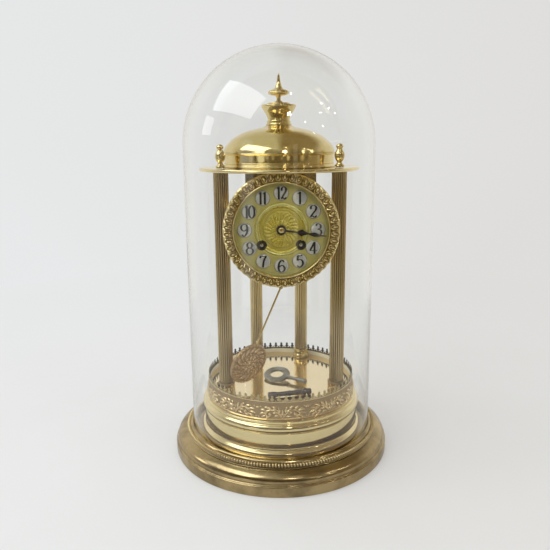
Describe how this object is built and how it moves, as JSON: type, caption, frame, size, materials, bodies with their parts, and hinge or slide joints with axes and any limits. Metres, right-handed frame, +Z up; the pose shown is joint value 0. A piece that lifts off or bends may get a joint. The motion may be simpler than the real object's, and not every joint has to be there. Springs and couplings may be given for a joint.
{
  "type": "glass-domed portico mantel clock",
  "caption": "Brass portico mantel clock: drum movement hung from a domed canopy on reeded columns, pendulum, round plinth, turned base, glass dome.",
  "frame": {"origin": "centre of the base's underside, on the surface that the clock stands on", "axes": "+Z up along the axis of the base and the glass, dial facing -Y, +X to the right of a person looking at the dial"},
  "size_m": [0.233, 0.233, 0.422],
  "materials": {
    "polished_brass": "polished, lacquered",
    "mirror_brass": "mirror polished",
    "column_brass": "satin reeded, tarnish in the grooves",
    "chased_brass": "stamped and chased relief, matted ground",
    "gilt_dial": "matted gilt",
    "enamel": "glossy fired enamel with black numerals",
    "blued_steel": "blued",
    "steel": "worn, dull grey",
    "bell_metal": "turned",
    "glass": "clear, blown",
    "wood": "stained"
  },
  "bodies": {
    "stand": {"base_shell": "polished_brass", "plinth": "polished_brass", "urn_finial_front_left": "polished_brass", "urn_finial_front_right": "polished_brass", "urn_finial_back_left": "polished_brass", "urn_finial_back_right": "polished_brass", "cornice_plate": "polished_brass", "canopy_band": "polished_brass", "canopy_dome": "polished_brass", "canopy_vase": "polished_brass", "spire_finial": "polished_brass", "drum_case": "polished_brass", "drum_hanger": "polished_brass", "front_plate": "polished_brass", "back_plate": "polished_brass", "platform": "mirror_brass", "column_shaft_front_left": "column_brass", "column_shaft_front_right": "column_brass", "column_shaft_back_left": "column_brass", "column_shaft_back_right": "column_brass", "gallery": "chased_brass", "column_foot_front_left": "chased_brass", "column_foot_front_right": "chased_brass", "column_foot_back_left": "chased_brass", "column_foot_back_right": "chased_brass", "dial_plate": "gilt_dial", "dial_rosette": "gilt_dial", "hour_cartouche_01": "enamel", "hour_cartouche_02": "enamel", "hour_cartouche_03": "enamel", "hour_cartouche_04": "enamel", "hour_cartouche_05": "enamel", "hour_cartouche_06": "enamel", "hour_cartouche_07": "enamel", "hour_cartouche_08": "enamel", "hour_cartouche_09": "enamel", "hour_cartouche_10": "enamel", "hour_cartouche_11": "enamel", "hour_cartouche_12": "enamel", "bell": "bell_metal", "base_board": "wood"},
    "dome": {"glass_dome": "glass"},
    "bezel": {"front_bezel": "chased_brass", "bezel_glass": "glass"},
    "minute_hand": {"minute_hand": "blued_steel", "centre_arbor": "steel"},
    "hour_hand": {"hour_hand": "blued_steel", "hour_wheel": "polished_brass"},
    "minute_wheel": {"minute_wheel": "polished_brass"},
    "going_barrel": {"going_barrel": "polished_brass"},
    "strike_barrel": {"strike_barrel": "polished_brass"},
    "escape_wheel": {"escape_wheel": "polished_brass"},
    "anchor": {"pallet_anchor": "steel"},
    "hammer": {"bell_hammer": "steel"},
    "suspension": {"suspension_rod": "steel"},
    "pendulum": {"pendulum_rod": "polished_brass", "pendulum_bob": "chased_brass"},
    "back_cover": {"back_cover": "polished_brass"},
    "winding_key": {"winding_key": "steel"},
    "small_key": {"double_ended_key": "steel"}
  },
  "joints": [
    {"name": "dome_lift", "type": "slide", "parent": "stand", "child": "dome", "axis": [0, 0, 1], "range_m": [0, 0.42]},
    {"name": "bezel_open", "type": "hinge", "parent": "stand", "child": "bezel", "pos_m": [-0.0551, -0.064, 0.2485], "axis": [0, 0, -1], "range_deg": [0, 2]},
    {"name": "minute_turn", "type": "hinge", "parent": "stand", "child": "minute_hand", "pos_m": [0, -0.0687, 0.2485], "axis": [0, 1, 0], "continuous": true},
    {"name": "hour_turn", "type": "hinge", "parent": "stand", "child": "hour_hand", "pos_m": [0, -0.068, 0.2485], "axis": [0, 1, 0], "continuous": true},
    {"name": "minute_wheel_turn", "type": "hinge", "parent": "stand", "child": "minute_wheel", "pos_m": [0.013, -0.0636, 0.2485], "axis": [0, 1, 0], "continuous": true},
    {"name": "going_wind", "type": "hinge", "parent": "stand", "child": "going_barrel", "pos_m": [0.0183, -0.055, 0.2341], "axis": [0, 1, 0], "continuous": true},
    {"name": "strike_wind", "type": "hinge", "parent": "stand", "child": "strike_barrel", "pos_m": [-0.0183, -0.055, 0.2341], "axis": [0, 1, 0], "continuous": true},
    {"name": "escape_turn", "type": "hinge", "parent": "stand", "child": "escape_wheel", "pos_m": [0, -0.0475, 0.2575], "axis": [0, 1, 0], "continuous": true},
    {"name": "suspension_swing", "type": "hinge", "parent": "stand", "child": "suspension", "pos_m": [0, -0.038, 0.284], "axis": [0, 1, 0], "range_deg": [-1.5, 0.6]},
    {"name": "anchor_rock", "type": "hinge", "parent": "stand", "child": "anchor", "pos_m": [0, -0.044, 0.2705], "axis": [0, 1, 0], "range_deg": [-4, 4]},
    {"name": "pendulum_swing", "type": "hinge", "parent": "suspension", "child": "pendulum", "pos_m": [0, -0.04, 0.187], "axis": [0, 1, 0], "range_deg": [-41, 0]},
    {"name": "hammer_draw", "type": "hinge", "parent": "stand", "child": "hammer", "pos_m": [-0.026, -0.036, 0.2285], "axis": [0, 1, 0], "range_deg": [-12, 0]},
    {"name": "back_cover_open", "type": "hinge", "parent": "stand", "child": "back_cover", "pos_m": [-0.0465, -0.0217, 0.2485], "axis": [0, 0, 1], "range_deg": [0, 65]},
    {"name": "winding_key_lift", "type": "slide", "parent": "stand", "child": "winding_key", "axis": [0, 0, 1], "range_m": [0, 0.015]},
    {"name": "small_key_lift", "type": "slide", "parent": "stand", "child": "small_key", "axis": [0, 0, 1], "range_m": [0, 0.015]}
  ],
  "couplings": [
    {"joint": "hour_turn", "follows": "minute_turn", "ratio": 0.083333},
    {"joint": "minute_wheel_turn", "follows": "minute_turn", "ratio": -0.33333},
    {"joint": "anchor_rock", "follows": "suspension_swing", "ratio": 1.45}
  ]
}
